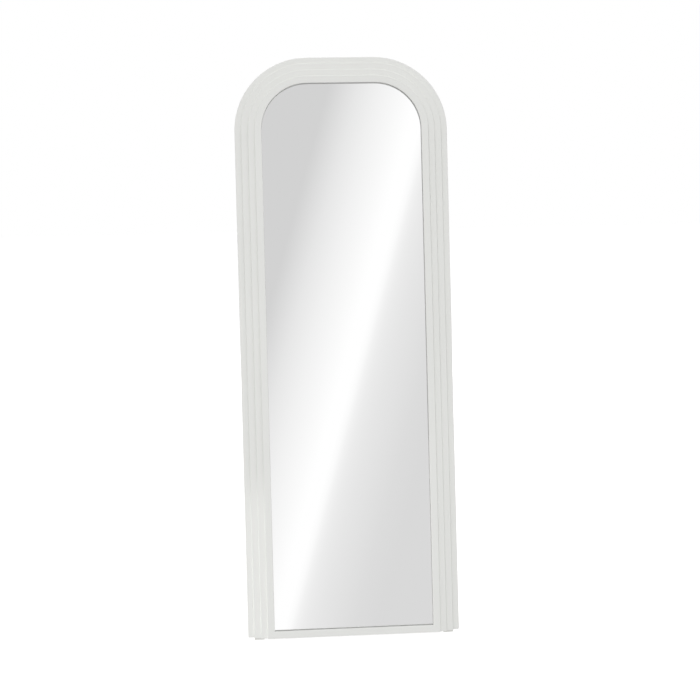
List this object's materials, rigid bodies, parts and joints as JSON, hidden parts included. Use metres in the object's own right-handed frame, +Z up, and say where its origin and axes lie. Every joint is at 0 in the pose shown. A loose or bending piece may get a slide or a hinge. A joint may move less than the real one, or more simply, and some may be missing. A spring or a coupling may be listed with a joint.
{
  "type": "leaning floor mirror",
  "caption": "Full-length mirror in a stepped squared-arch frame, leaning back on a folding U-shaped tube stand.",
  "frame": {"origin": "on the floor, under the middle of the whole mirror with its stand open", "axes": "+X across the mirror to the right as a person facing it sees it, +Y towards the back, +Z up"},
  "size_m": [0.6, 0.2988, 1.6181],
  "materials": {
    "painted_frame": "satin off-white lacquer on fibreboard",
    "mirror_glass": "silvered float glass",
    "hardboard": "smooth brown hardboard",
    "foam": "white closed-cell foam",
    "glazing_foam": "dark grey closed-cell glazing tape",
    "beech_dowel": "plain beech",
    "coated_tube": "fine-textured white powder coat on steel tube",
    "zinc_steel": "bright zinc plate",
    "rubber": "matt black rubber",
    "white_rubber": "off-white non-marking rubber",
    "nylon": "natural nylon",
    "black_plastic": "black moulded plastic"
  },
  "bodies": {
    "frame": {"backing_board": "hardboard", "backing_screws": "zinc_steel", "bottom_rail": "painted_frame", "bracket_screws": "zinc_steel", "foam_liner": "foam", "foot_pad_left": "white_rubber", "foot_pad_right": "white_rubber", "glass_tape": "glazing_foam", "hanger_plate_left": "zinc_steel", "hanger_plate_right": "zinc_steel", "hanger_screws": "zinc_steel", "hinge_bracket_left": "zinc_steel", "hinge_bracket_right": "zinc_steel", "lip_tier_head": "painted_frame", "lip_tier_stile_left": "painted_frame", "lip_tier_stile_right": "painted_frame", "lock_nut_left": "zinc_steel", "lock_nut_right": "zinc_steel", "mirror_glass": "mirror_glass", "outer_tier_head": "painted_frame", "outer_tier_stile_left": "painted_frame", "outer_tier_stile_right": "painted_frame", "pivot_bolt_left": "zinc_steel", "pivot_bolt_right": "zinc_steel", "pivot_washers_left": "nylon", "pivot_washers_right": "nylon", "rail_dowels": "beech_dowel", "rear_bumpers": "rubber", "rear_sill": "painted_frame", "second_tier_head": "painted_frame", "second_tier_stile_left": "painted_frame", "second_tier_stile_right": "painted_frame", "setting_blocks": "rubber", "third_tier_head": "painted_frame", "third_tier_stile_left": "painted_frame", "third_tier_stile_right": "painted_frame"},
    "stand": {"stand_tube": "coated_tube", "pivot_bush_left": "nylon", "pivot_bush_right": "nylon", "tube_plug_left": "black_plastic", "tube_plug_right": "black_plastic", "foot_sleeve_left": "rubber", "foot_sleeve_right": "rubber"},
    "ring_left": {"d_ring_left": "zinc_steel"},
    "ring_right": {"d_ring_right": "zinc_steel"}
  },
  "joints": [
    {"name": "stand_fold", "type": "hinge", "parent": "frame", "child": "stand", "pos_m": [0, 0.03528, 0.99132], "axis": [-1, 0, 0], "range_deg": [0, 14]},
    {"name": "ring_swing_left", "type": "hinge", "parent": "frame", "child": "ring_left", "pos_m": [-0.268, 0.06743, 1.29985], "axis": [1, 0, 0], "range_deg": [-6, 170]},
    {"name": "ring_swing_right", "type": "hinge", "parent": "frame", "child": "ring_right", "pos_m": [0.268, 0.06743, 1.29985], "axis": [1, 0, 0], "range_deg": [-6, 170]}
  ]
}
